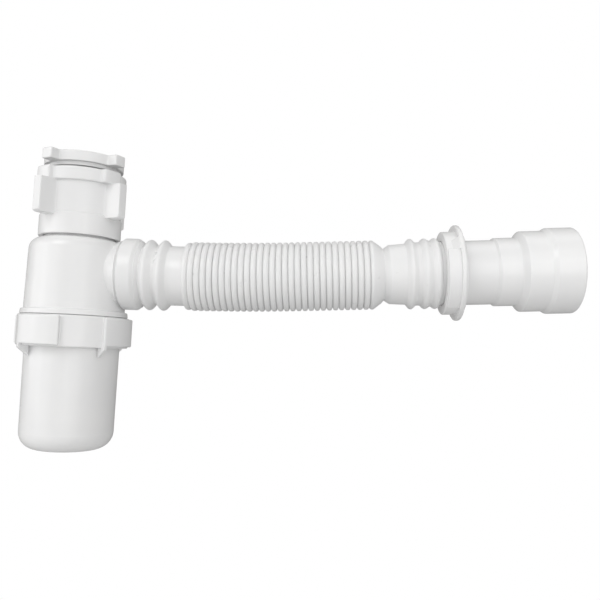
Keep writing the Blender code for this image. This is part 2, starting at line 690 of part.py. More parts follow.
def make_flange_nut(white):
    length = END_NUT_END - END_NUT_START
    flange = END_NUT_COLLAR_LENGTH
    edge = END_NUT_FLANGE_EDGE
    profile = [
        (END_NUT_BORE, 0),
        (END_NUT_COLLAR_RADIUS, 0),
        (END_NUT_COLLAR_RADIUS, flange),
        (END_NUT_FLANGE_RADIUS - edge, flange),
        (END_NUT_FLANGE_RADIUS, flange + edge),
        (END_NUT_FLANGE_RADIUS, flange + END_NUT_FLANGE - edge),
        (END_NUT_FLANGE_RADIUS - edge, flange + END_NUT_FLANGE),
        (END_NUT_COLLAR_RADIUS, flange + END_NUT_FLANGE),
        (END_NUT_COLLAR_RADIUS, length),
        (END_NUT_THREAD_RADIUS, length),
        (END_NUT_THREAD_RADIUS, END_NUT_WEB),
        (END_NUT_BORE, END_NUT_WEB),
    ]
    nut = turned("flange_nut", profile, white)
    place_on_outlet(nut, END_NUT_START)
    inside = (END_NUT_THREAD_RADIUS + END_NUT_COLLAR_RADIUS) / 2
    middles = [END_PAD_ANGLE + 2 * math.pi * i / END_PAD_COUNT for i in range(END_PAD_COUNT)]
    heights = (SEAT, flange + edge)
    pads = sectors("flange_nut_pads", (inside, END_PAD_RADIUS), heights, END_PAD_SPAN, middles, white)
    combine(nut, pads, "UNION")
    offset = END_PAD_SPAN / 2
    ends = [middle - offset for middle in middles]
    heights = (flange - END_STOP_LENGTH, flange + END_NUT_FLANGE / 2)
    radii = (inside, END_NUT_FLANGE_RADIUS - edge)
    stops = sectors("flange_nut_stops", radii, heights, END_STOP_SPAN, ends, white, steps=2)
    combine(nut, stops, "UNION")
    return nut


def make_drain_end(white):
    """Stepped spigot: each step fits the next standard drain pipe, hollow all through."""
    thread_end = END_NUT_END - DRAIN_START + SEAT
    outside = [(DRAIN_THREAD_RADIUS, 0), (DRAIN_THREAD_RADIUS, thread_end)]
    inside = [(DRAIN_STEP_RADII[0] - DRAIN_WALL, 0)]
    place = thread_end
    for radius, length in zip(DRAIN_STEP_RADII, DRAIN_STEP_LENGTHS):
        slope = min(DRAIN_STEP_CHAMFER, abs(radius - outside[-1][0]))
        outside.append((radius - (slope if radius > outside[-1][0] else 0), place))
        if radius > outside[-2][0]:
            outside.append((radius, place + slope))
            if radius > DRAIN_STEP_RADII[1]:
                wall = DRAIN_RIM_WALL if radius == DRAIN_STEP_RADII[-1] else DRAIN_WALL
                inside.append((inside[-1][0], place + DRAIN_WALL))
                inside.append((radius - wall, place + DRAIN_WALL))
        place += length
        outside.append((radius, place))
    outside.pop()
    rim = DRAIN_RIM_ROUND
    radius = DRAIN_STEP_RADII[-1]
    outside += arc((radius - rim, place - rim), rim, 0, 90, 4)
    inside.append((radius - DRAIN_RIM_WALL, place))
    drain = turned("outlet_adapter", outside + inside[::-1], white)
    place_on_outlet(drain, DRAIN_START)
    return drain


def main():
    for old in list(bpy.data.objects):
        bpy.data.objects.remove(old, do_unlink=True)
    white = plastic("white_plastic", (0.86, 0.86, 0.86), 0.22)
    hose_white = plastic("hose_plastic", (0.85, 0.85, 0.85), 0.32)
    rubber = plastic("rubber", (0.03, 0.03, 0.03), 0.6)
    make_washer(rubber)
    make_inlet_tube(white)
    make_inlet_nut(white)
    make_neck_nut(white)
    make_slip_ring(white)
    make_neck_seal(rubber)
    make_body(white)
    make_cup_seal(rubber)
    make_cup(white)
    make_union_nut(white)
    make_hose(hose_white)
    make_end_seal(rubber)
    make_flange_nut(white)
    make_drain_end(white)
    bpy.context.view_layer.update()


main()
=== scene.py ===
"""Looks of the flexible sink trap: fine moulded surfaces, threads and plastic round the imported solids.

All sizes are in metres, in the frame of the solids: the bottle on Z, the outlet leaving along +X.
A corner in an outline is (radius, height) or (radius, height, rounding).
"""

import math

import bmesh
import bpy
import numpy as np
from mathutils import Matrix, Vector


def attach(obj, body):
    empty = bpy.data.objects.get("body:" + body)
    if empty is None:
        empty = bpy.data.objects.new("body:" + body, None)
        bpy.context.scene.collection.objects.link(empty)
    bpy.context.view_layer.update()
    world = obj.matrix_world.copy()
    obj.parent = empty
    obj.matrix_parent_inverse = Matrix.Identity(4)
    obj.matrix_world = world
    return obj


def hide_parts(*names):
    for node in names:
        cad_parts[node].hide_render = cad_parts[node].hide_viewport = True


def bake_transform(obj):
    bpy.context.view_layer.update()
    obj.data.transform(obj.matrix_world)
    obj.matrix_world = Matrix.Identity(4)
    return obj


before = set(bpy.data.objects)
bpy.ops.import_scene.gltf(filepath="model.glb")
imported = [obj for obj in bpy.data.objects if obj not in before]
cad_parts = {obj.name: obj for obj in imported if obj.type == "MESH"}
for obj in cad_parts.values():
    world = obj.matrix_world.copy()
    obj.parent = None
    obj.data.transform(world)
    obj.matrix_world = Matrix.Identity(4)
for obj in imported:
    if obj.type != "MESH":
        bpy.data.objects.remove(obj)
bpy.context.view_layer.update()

# Facets and edges
ROUND = 128
EDGE_STEPS = 4
SUPPORT = 0.00012
SIDE_SHARE = 0.46
LEAST_TURN = math.radians(12)
SHARP_ANGLE = math.radians(38)
MERGE_DISTANCE = 2e-7
LEAST_EDGE = 1e-8
SEAT = 0.0003

# Degrees about Z of the first lobe of each kind, and half the degrees that a wide one spans
LOBES = 4
INLET_LUG_TURN = -25.8
NECK_LUG_TURN = -33.5
WING_TURN = -27.2
PAD_TURN = -16.2
PAD_HALF_SPAN = 23.8
FOOT_TURN = -38.4
GRIP_COUNT = 2
GRIP_TURN = -75
GRIP_HALF_SPAN = 41
STOP_BACK_TURN = 48
STOP_HALF_SPAN = 9

# Threads: a ridge's section is (place, height), in pitches and in depths
PITCH = 0.0030
INLET_PITCH = 0.0023
DRAIN_PITCH = 0.0024
THREAD_STEPS = 64
THREAD_FADE = 6
THREAD_SECTION = ((-0.34, -0.35), (-0.14, 1.0), (0.14, 1.0), (0.34, -0.35))
SKIRT_RADIUS = 0.0306
DRAIN_THREAD_RADIUS = 0.0222

# Heights down the bottle
WASHER_BOTTOM = -0.0014
TUBE_FLANGE_TOP = -0.0017
TUBE_FLANGE_BOTTOM = TUBE_FLANGE_TOP - 0.0016
TUBE_END = -0.1477
INLET_TOP = 0.0033
INLET_RING_BOTTOM = -0.0032
INLET_WEB_TOP = -0.0036
INLET_BOTTOM = -0.0056
NECK_TOP = -0.0071
NECK_WEB_BOTTOM = -0.0096
NECK_FLANGE_BOTTOM = -0.0152
NECK_WAIST_BOTTOM = -0.0342
NECK_BOTTOM = -0.0478
SLIP_RING_TOP = -0.0099
SEAL_TOP = -0.0118
BODY_MOUTH = -0.0136
SHOULDER_TOP = -0.0490
LIP_TOP = -0.0935
LIP_BOTTOM = -0.0968
SKIRT_BOTTOM = -0.1076
UNION_TOP = -0.0971
CUP_TOP = -0.1102
UNION_WEB_TOP = -0.1130
UNION_BOTTOM = -0.1160
CUP_FLOOR = -0.1788

# Outside of the body
SHOULDER_ROUND = 0.0074
BODY_TOP_RADIUS = 0.0297
BODY_BOTTOM_RADIUS = 0.0304

# Outlet centre line
CUFF_PLANE = 0.0305
OUTLET_DROP = 0.0689
BEND_START = 0.0245
BEND_LENGTH = 0.0880
BEND_ANGLE = math.radians(3.6)
BEND_RADIUS = BEND_LENGTH / BEND_ANGLE

# Distances along the outlet
HOSE_START = 0.0003
CUFF_LENGTH = 0.0122
RIDGE_PITCH = 0.0089
PLAIN_START = 0.0305
FOLDS_START = 0.0393
PLAIN_END = FOLDS_START - 0.0006
FOLD_PITCH = 0.00381
FOLD_COUNT = 31
SPLIT_FOLD = 5
FOLDS_END = FOLDS_START + FOLD_COUNT * FOLD_PITCH
SPLIT = FOLDS_START + SPLIT_FOLD * FOLD_PITCH
NOTCH = 0.16261
RIB_CENTRES = (0.1792, 0.1880, 0.1943)
END_NUT_START = 0.19851
END_FLANGE_START = 0.20601
END_FLANGE_END = 0.20881
HOSE_FLANGE_START = 0.20131
HOSE_END = 0.20361
DRAIN_START = 0.20571
END_NUT_END = 0.21041

# Outside of the hose
HOSE_WALL = 0.0012
CUFF_BORE = 0.0206
CUFF_GROOVE = 0.0211
CUFF_RADIUS = 0.0225
VALLEY_RADIUS = 0.0186
PLAIN_RADIUS = 0.0187
RIDGE_RADIUS = 0.0222
RIDGE_WIDTH = 0.0078
RIDGE_BORE_WIDTH = 0.0072
RIDGE_BORE_STEPS = 8
FOLD_ROOT = 0.0197
FOLD_CREST = 0.0216
FOLD_BORE_STEPS = 6
FIRST_FOLD = (0.0190, 0.0211)
HOSE_FLANGE_RADIUS = 0.0223

# Drain end: radius and length of each step, and how far the face before it slopes
DRAIN_STEP_RADII = (0.0200, 0.0212, 0.0250, 0.0266)
DRAIN_STEP_LENGTHS = (0.0193, 0.0140, 0.0165, 0.0185)
DRAIN_STEP_RAMPS = (0, 0.0010, 0.0026, 0.0022)

# Finish of the plastic and rubber
NOISE_LOW = 0.3
NOISE_HIGH = 0.7
PLASTIC_IOR = 1.49

# Camera of the photograph
CAMERA_PLACE = (0.1546, -0.4059, -0.1100)
CAMERA_YAW = math.radians(1.803)
CAMERA_PITCH = math.radians(4.105)
CAMERA_ROLL = math.radians(-2.444)
CAMERA_LENS = 39.0

# Studio: name, place and power of each lamp
FLOOR_SIZE = 12
FLOOR_PLACE = (0.15, 0.5, -0.62)
FLOOR_GREY = 0.72
WORLD_COLOUR = (1, 0.99, 0.975, 1)
WORLD_STRENGTH = 0.32
PAGE_WHITE = (1, 1, 1, 1)
LAMP_SIZE = 0.9
LAMP_TARGET = Vector((0.12, 0, -0.08))
LAMPS = (
    ("key", (-0.80, -1.45, 1.15), 10.5),
    ("top", (0.20, 0.05, 1.10), 2.2),
    ("front", (0.50, -1.15, 0.05), 2.6),
    ("left", (-1.15, -0.35, 0.15), 3.6),
    ("far_left", (-0.95, -0.95, -0.05), 2.2),
    ("right", (0.75, -0.60, 0.20), 2.1),
    ("low", (0.15, -1.00, -0.50), 0.8),
)


def rounded(outline, radius=0, closed=True, steps=EDGE_STEPS):
    """A 2-D outline with its corners rounded. A third value in a corner is its own radius."""
    points = []
    count = len(outline)
    for i, corner in enumerate(outline):
        here = Vector(corner[:2])
        size = corner[2] if len(corner) > 2 else radius
        if not closed and i in (0, count - 1):
            points.append(here)
            continue
        before = Vector(outline[i - 1][:2]) - here
        after = Vector(outline[(i + 1) % count][:2]) - here
        turn = math.pi - before.angle(after, math.pi)
        if size <= 0 or turn < LEAST_TURN:
            points.append(here)
            continue
        reach = min(size * math.tan(turn / 2), SIDE_SHARE * before.length, SIDE_SHARE * after.length)
        real = reach / math.tan(turn / 2)
        before_way = before.normalized()
        after_way = after.normalized()
        centre = here + (before_way + after_way).normalized() * (real / math.cos(turn / 2))
        first = here + before_way * reach - centre
        last = here + after_way * reach - centre
        sweep = math.atan2(first.x * last.y - first.y * last.x, first.dot(last))
        if reach + SUPPORT < 0.5 * before.length:
            points.append(here + before_way * (reach + SUPPORT))
        for step in range(steps + 1):
            points.append(centre + Matrix.Rotation(sweep * step / steps, 2) @ first)
        if reach + SUPPORT < 0.5 * after.length:
            points.append(here + after_way * (reach + SUPPORT))
    return np.array([tuple(point) for point in points])


def skin(rings, closed=True):
    """Faces over rings of points. Closed joins the last ring to the first. Open ends run to a point."""
    rings = np.asarray(rings, float)
    if not closed:
        first = np.repeat(rings[:1].mean(1, keepdims=True), rings.shape[1], 1)
        last = np.repeat(rings[-1:].mean(1, keepdims=True), rings.shape[1], 1)
        rings = np.concatenate([first, rings, last])
    rows, columns = rings.shape[:2]
    row = np.arange(rows if closed else rows - 1)[:, None]
    column = np.arange(columns)[None, :]
    beyond = (row + 1) % rows
    beside = (column + 1) % columns
    corners = (
        row * columns + column,
        row * columns + beside,
        beyond * columns + beside,
        beyond * columns + column,
    )
    faces = np.stack(np.broadcast_arrays(*corners), -1).reshape(-1, 4)
    return rings.reshape(-1, 3), faces


def revolve(profile, closed=True):
    """A (radius, height) profile turned about Z."""
    angles = np.arange(ROUND) * 2 * math.pi / ROUND
    profile = np.asarray(profile)
    radius = profile[:, 0][:, None]
    height = np.repeat(profile[:, 1][:, None], ROUND, 1)
    rings = np.stack([radius * np.cos(angles), radius * np.sin(angles), height], -1)
    return skin(rings, closed)


def inset(outline, amount):
    """A closed 2-D outline moved inwards."""
    run = np.roll(outline, -1, 0) - np.roll(outline, 1, 0)
    normal = np.stack([run[:, 1], -run[:, 0]], -1)
    normal /= np.linalg.norm(normal, axis=1)[:, None]
    return outline - normal * amount


def level(outline, height):
    """A 2-D outline as a ring of points at a height."""
    return np.column_stack([outline, np.full(len(outline), height)])


def on_circle(outline, radius):
    """The points of a 2-D outline moved in or out to a circle about Z."""
    return outline / np.linalg.norm(outline, axis=1)[:, None] * radius


def band(outline, low, high, inner, edges):
    """A ring between two heights with a lobed outside, rounded at its edges, and a round inside."""
    reach = 4 * max(edges)
    corners = [(-reach, low), (0, low, edges[0]), (0, high, edges[1]), (-reach, high)]
    profile = rounded(corners, closed=False)[1:-1]
    rings = [level(inset(outline, -place), height) for place, height in profile]
    for ring, height in ((rings[-1], high), (rings[0], low)):
        rings.append(level(on_circle(ring[:, :2], inner), height))
    return skin(rings)


def lobed(radii, widths, roundings, angles, gap_steps=14, tip_steps=5):
    """Outline of a ring with lobes. Radii, widths and corner roundings are pairs, for root and tip."""
    ring, tip = radii
    root_width, tip_width = widths
    root_round, tip_round = roundings
    root_half = math.asin(root_width / 2 / ring)
    tip_half = math.asin(tip_width / 2 / tip)
    corners = []
    for i, angle in enumerate(angles):
        following = angles[(i + 1) % len(angles)] + (2 * math.pi if i + 1 == len(angles) else 0)
        corners.append((ring, angle - root_half, root_round))
        for step in range(tip_steps + 1):
            size = tip_round if step in (0, tip_steps) else 0
            corners.append((tip, angle - tip_half + 2 * tip_half * step / tip_steps, size))
        corners.append((ring, angle + root_half, root_round))
        start, end = angle + root_half, following - root_half
        for step in range(1, gap_steps):
            corners.append((ring, start + (end - start) * step / gap_steps, 0))
    return rounded([
        (radius * math.cos(angle), radius * math.sin(angle), size)
        for radius, angle, size in corners
    ])


def around(first_degrees, count=LOBES):
    """Evenly spaced angles about Z."""
    return [math.radians(first_degrees) + 2 * math.pi * i / count for i in range(count)]


def chord(radius, half_degrees):
    """Width across a span of a circle."""
    return 2 * radius * math.sin(math.radians(half_degrees))


def thread(radius, start, turns, pitch, depth, side=1):
    """A helical ridge with tapered ends on a round wall. Side 1 stands outwards and -1 inwards."""
    rings = []
    count = int(turns * THREAD_STEPS)
    for i in range(count + 1):
        angle = 2 * math.pi * i / THREAD_STEPS
        fade = min(1, THREAD_FADE * i / count, THREAD_FADE * (count - i) / count)
        ring = []
        for place, height in THREAD_SECTION:
            reach = radius + side * depth * (height if height < 0 else height * fade)
            rise = start + pitch * (i / THREAD_STEPS + place)
            ring.append((reach * math.cos(angle), reach * math.sin(angle), rise))
        rings.append(ring)
    return skin(rings, closed=False)


def fin(outline, thickness, angle, edge):
    """A plate that stands radially, from its (radius, height) outline, with rounded rims."""
    flat = rounded(outline, 2 * edge)
    half = thickness / 2
    corners = [(-4 * edge, -half), (0, -half, edge), (0, half, edge), (-4 * edge, half)]
    turn = np.array(Matrix.Rotation(angle, 3, "Z"))
    rings = []
    for place, across in rounded(corners, closed=False)[1:-1]:
        shape = inset(flat, -place)
        rings.append(np.column_stack([shape[:, 0], np.full(len(shape), across), shape[:, 1]]) @ turn.T)
    return skin(rings, closed=False)


def outlet_frame(distance):
    """Points on the outlet's centre line and the line's rise there, for an array of distances."""
    bent = np.clip(distance - BEND_START, 0, BEND_LENGTH)
    rise = bent / BEND_RADIUS
    beyond = np.maximum(distance - BEND_START - BEND_LENGTH, 0)
    run = np.minimum(distance, BEND_START) + BEND_RADIUS * np.sin(rise) + beyond * np.cos(rise)
    climb = BEND_RADIUS * (1 - np.cos(rise)) + beyond * np.sin(rise)
    return CUFF_PLANE + run, climb - OUTLET_DROP, rise


def along_outlet(shape):
    """Carries a shape turned about Z onto the outlet's centre line, its height as the distance."""
    points, faces = shape
    x, z, rise = outlet_frame(points[:, 2])
    across = points[:, 0]
    laid = np.column_stack([x + across * np.sin(rise), points[:, 1], z - across * np.cos(rise)])
    return laid, faces


def shade(data):
    """Smooth shading between sharp edges."""
    data.shade_smooth()
    data.set_sharp_from_angle(angle=SHARP_ANGLE)


def mesh_object(name, shapes, material):
    """One object from several closed shapes, faces out."""
    edit = bmesh.new()
    for points, faces in shapes:
        corners = [edit.verts.new(point) for point in points]
        for face in faces:
            edit.faces.new([corners[i] for i in face])
    bmesh.ops.remove_doubles(edit, verts=edit.verts, dist=MERGE_DISTANCE)
    bmesh.ops.dissolve_degenerate(edit, edges=edit.edges, dist=LEAST_EDGE)
    bmesh.ops.recalc_face_normals(edit, faces=edit.faces)
    data = bpy.data.meshes.new(name)
    edit.to_mesh(data)
    edit.free()
    data.materials.append(material)
    shade(data)
    made = bpy.data.objects.new(name, data)
    bpy.context.scene.collection.objects.link(made)
    return made


def piece(name, shapes, material, body, node):
    """A piece that stands for a solid and rides on its body."""
    made = mesh_object(name, shapes, material)
    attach(made, body)
    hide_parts(node)


def cut(target, tool):
    """Cuts a tool object out of the target and removes the tool."""
    step = target.modifiers.new("cut", "BOOLEAN")
    step.operation = "DIFFERENCE"
    step.solver = "EXACT"
    step.object = tool
    bpy.context.view_layer.update()
    evaluated = target.evaluated_get(bpy.context.evaluated_depsgraph_get())
    data = bpy.data.meshes.new_from_object(evaluated)
    target.modifiers.clear()
    target.data = data
    bpy.data.objects.remove(tool, do_unlink=True)
    shade(data)


def new_material(name):
    """A material with its nodes, its links and its shader."""
    material = bpy.data.materials.new(name)
    material.use_nodes = True
    nodes = material.node_tree.nodes
    return material, nodes, material.node_tree.links, nodes["Principled BSDF"]


def noise(nodes, links, place, scale, detail, roughness=0.5):
    """Noise over a place, mostly between NOISE_LOW and NOISE_HIGH."""
    made = nodes.new("ShaderNodeTexNoise")
    made.inputs["Scale"].default_value = scale
    made.inputs["Detail"].default_value = detail
    made.inputs["Roughness"].default_value = roughness
    links.new(place, made.inputs["Vector"])
    return made.outputs["Fac"]


def ramp(nodes, links, value, low, high):
    """Noise mapped onto a range of numbers."""
    made = nodes.new("ShaderNodeMapRange")
    made.inputs["From Min"].default_value = NOISE_LOW
    made.inputs["From Max"].default_value = NOISE_HIGH
    made.inputs["To Min"].default_value = low
    made.inputs["To Max"].default_value = high
    links.new(value, made.inputs["Value"])
    return made.outputs["Result"]


def two_tone(nodes, links, factor, first, second):
    """A colour between two tones."""
    tone = nodes.new("ShaderNodeMix")
    tone.data_type = "RGBA"
    tone.inputs["A"].default_value = (*first, 1)
    tone.inputs["B"].default_value = (*second, 1)
    links.new(factor, tone.inputs["Factor"])
    return tone.outputs["Result"]


def bump(nodes, links, height, distance):
    """A bump node as deep as the distance."""
    made = nodes.new("ShaderNodeBump")
    made.inputs["Strength"].default_value = 1
    made.inputs["Distance"].default_value = distance
    links.new(height, made.inputs["Height"])
    return made


def moulded(name, colour, shadow, gloss, waves, grain):
    """Moulded plastic: slow sink waves and a fine grain, uneven gloss and a faint change of tone."""
    material, nodes, links, shader = new_material(name)
    place = nodes.new("ShaderNodeTexCoord").outputs["Object"]
    blotches = noise(nodes, links, place, scale=38, detail=4)
    tone = two_tone(nodes, links, ramp(nodes, links, blotches, 0, 1), shadow, colour)
    links.new(tone, shader.inputs["Base Color"])
    uneven = noise(nodes, links, place, scale=120, detail=5, roughness=0.6)
    links.new(ramp(nodes, links, uneven, *gloss), shader.inputs["Roughness"])
    slow = bump(nodes, links, noise(nodes, links, place, scale=95, detail=1), waves)
    fine = bump(nodes, links, noise(nodes, links, place, scale=2600, detail=3), grain)
    links.new(slow.outputs["Normal"], fine.inputs["Normal"])
    links.new(fine.outputs["Normal"], shader.inputs["Normal"])
    shader.inputs["IOR"].default_value = PLASTIC_IOR
    return material


def rubber_material():
    """Dull black rubber with a fine grain."""
    material, nodes, links, shader = new_material("rubber_finish")
    place = nodes.new("ShaderNodeTexCoord").outputs["Object"]
    mottle = noise(nodes, links, place, scale=400, detail=6)
    tone = two_tone(nodes, links, mottle, (0.022, 0.022, 0.023), (0.042, 0.041, 0.040))
    links.new(tone, shader.inputs["Base Color"])
    uneven = noise(nodes, links, place, scale=700, detail=4)
    links.new(ramp(nodes, links, uneven, low=0.5, high=0.72), shader.inputs["Roughness"])
    grain = bump(nodes, links, noise(nodes, links, place, scale=3000, detail=3), distance=0.00003)
    links.new(grain.outputs["Normal"], shader.inputs["Normal"])
    return material


WHITE = moulded(
    "white_finish",
    colour=(0.87, 0.87, 0.868),
    shadow=(0.845, 0.847, 0.85),
    gloss=(0.17, 0.27),
    waves=0.00006,
    grain=0.000004,
)
HOSE_WHITE = moulded(
    "hose_finish",
    colour=(0.86, 0.86, 0.858),
    shadow=(0.83, 0.833, 0.835),
    gloss=(0.26, 0.38),
    waves=0.00007,
    grain=0.000006,
)
RUBBER = rubber_material()


def flat_ring(inner, outer, top, bottom, edge):
    """A plain ring of rectangular section, with rounded edges."""
    return revolve(rounded([(inner, top), (outer, top), (outer, bottom), (inner, bottom)], edge))


def make_inlet():
    """The washer, the dip tube with its flange and the inlet nut with its lugs."""
    bore, tube, flange, washer_bore = 0.0144, 0.0160, 0.0206, 0.0146
    tube_bevel = 0.0008
    washer = flat_ring(washer_bore, flange, 0, WASHER_BOTTOM, 0.0002)
    piece("rubber_washer", [washer], RUBBER, "dip_tube", "inlet_washer")
    tube_shape = rounded([
        (bore, TUBE_FLANGE_TOP, 0.0004),
        (flange, TUBE_FLANGE_TOP, 0.0003),
        (flange, TUBE_FLANGE_BOTTOM, 0.0003),
        (tube, TUBE_FLANGE_BOTTOM, 0.0006),
        (tube, TUBE_END + tube_bevel, 0.0004),
        (tube - tube_bevel, TUBE_END, 0.0003),
        (bore, TUBE_END, 0.0003),
    ])
    piece("dip_tube_wall", [revolve(tube_shape)], WHITE, "dip_tube", "inlet_tube")

    thread_radius, ring, lug, collar, hole = 0.0210, 0.0243, 0.0307, 0.0224, 0.0164
    wall_radius, wall_bottom = ring - 0.0004, INLET_RING_BOTTOM + 0.0003
    wall = rounded([
        (thread_radius, INLET_TOP, 0.0006),
        (wall_radius, INLET_TOP, 0.0006),
        (wall_radius, wall_bottom, 0.0003),
        (collar, wall_bottom, 0.0002),
        (collar, INLET_BOTTOM, 0.0004),
        (hole, INLET_BOTTOM, 0.0003),
        (hole, INLET_WEB_TOP, 0.0003),
        (thread_radius, INLET_WEB_TOP, 0.0005),
    ])
    widths, roundings = (0.0083, 0.0080), (0.0012, 0.0010)
    outline = lobed((ring, lug), widths, roundings, around(INLET_LUG_TURN))
    lugs = band(outline, INLET_RING_BOTTOM, INLET_TOP, thread_radius + 0.0009, (0.0006, 0.0008))
    ridge_start = INLET_WEB_TOP + 0.0014
    ridge = thread(thread_radius, ridge_start, turns=1.9, pitch=INLET_PITCH, depth=0.0007, side=-1)
    piece("inlet_ring", [revolve(wall), lugs, ridge], WHITE, "inlet_nut", "inlet_nut")


def winged_waist(waist, wing_tip, inner):
    """The neck nut's waist with its wings, drawn in at their lower ends."""
    bottom = NECK_WAIST_BOTTOM - 0.0020
    taper, taper_steps = 0.0012, 4
    lowest, end_inset = bottom - 0.0002, 0.0005
    widths, roundings = (0.0080, 0.0060), (0.0016, 0.0014)
    heights = [bottom + taper * i / taper_steps for i in range(taper_steps + 1)]
    heights.append(NECK_FLANGE_BOTTOM + 0.0001)
    rings = []
    for height in heights:
        rise = min(max((height - bottom) / taper, 0), 1)
        tip = wing_tip - taper * (1 - rise) ** 2
        outline = lobed((waist, tip), widths, roundings, around(WING_TURN))
        rings.append(level(outline, height))
    rings.insert(0, level(inset(rings[0][:, :2], end_inset), lowest))
    hollow = on_circle(rings[0][:, :2], inner)
    return skin(rings + [level(hollow, heights[-1]), level(hollow, lowest)])


def make_neck_nut():
    """The neck nut, its slip ring and the wedge seal."""
    bore, nut_thread = 0.0164, 0.0219
    flange, lug, waist, wing, skirt = 0.0264, 0.0298, 0.0243, 0.0350, 0.0250
    flange_inner, waist_inner = 0.0222, 0.0228
    flange_lap, waist_lap = 0.0006, 0.0003
    wall = rounded([
        (bore, NECK_TOP, 0.0004),
        (flange - flange_lap, NECK_TOP, 0.0005),
        (flange - flange_lap, NECK_FLANGE_BOTTOM + flange_lap, 0.0004),
        (waist - waist_lap, NECK_FLANGE_BOTTOM + flange_lap, 0.0006),
        (waist - waist_lap, NECK_WAIST_BOTTOM + 0.0002, 0.0004),
        (skirt, NECK_WAIST_BOTTOM - 0.0010, 0.0006),
        (skirt, NECK_BOTTOM, 0.0006),
        (nut_thread, NECK_BOTTOM, 0.0006),
        (nut_thread, NECK_WEB_BOTTOM, 0.0008),
        (bore, NECK_WEB_BOTTOM, 0.0004),
    ])
    widths, roundings = (0.0126, 0.0122), (0.0014, 0.0012)
    outline = lobed((flange, lug), widths, roundings, around(NECK_LUG_TURN))
    top = band(outline, NECK_FLANGE_BOTTOM, NECK_TOP, flange_inner, (0.0007, 0.0008))
    middle = winged_waist(waist, wing, waist_inner)
    ridge = thread(nut_thread, NECK_BOTTOM + 0.0022, turns=2.4, pitch=PITCH, depth=0.0003, side=-1)
    shapes = [revolve(wall), top, middle, ridge]
    piece("neck_ring", shapes, WHITE, "neck_nut", "neck_nut")

    seal_bore, seal_radius = 0.0163, 0.0215
    ring = flat_ring(bore, seal_radius, SLIP_RING_TOP, SLIP_RING_TOP - 0.0016, 0.0003)
    piece("slip_ring_fine", [ring], WHITE, "slip_ring", "neck_slip_ring")
    rim_bottom, wedge_bottom = SEAL_TOP - 0.0015, SEAL_TOP - 0.0065
    wedge = rounded([
        (seal_bore, SEAL_TOP),
        (seal_radius, SEAL_TOP),
        (seal_radius, rim_bottom),
        (0.0196, rim_bottom),
        (0.0176, wedge_bottom),
        (seal_bore, wedge_bottom),
    ], 0.0002)
    piece("wedge_seal", [revolve(wedge)], RUBBER, "body", "neck_seal")


def body_radius(height):
    """Outside radius of the body at an array of heights below its shoulder's top."""
    shoulder_bottom = SHOULDER_TOP - SHOULDER_ROUND
    drop = np.clip(height - shoulder_bottom, 0, SHOULDER_ROUND)
    shoulder = BODY_TOP_RADIUS - SHOULDER_ROUND + np.sqrt(SHOULDER_ROUND ** 2 - drop ** 2)
    part = np.clip((shoulder_bottom - height) / (shoulder_bottom - LIP_TOP), 0, 1)
    return shoulder + (BODY_BOTTOM_RADIUS - BODY_TOP_RADIUS) * part


def shoulder_arc(thickness, steps=9):
    """Corners down the round shoulder, at a depth inside the body's outside."""
    size = SHOULDER_ROUND - thickness
    turns = [math.pi / 2 * (1 - step / steps) for step in range(steps + 1)]
    across, up = BODY_TOP_RADIUS - SHOULDER_ROUND, SHOULDER_TOP - SHOULDER_ROUND
    return [(across + size * math.cos(turn), up + size * math.sin(turn), 0) for turn in turns]


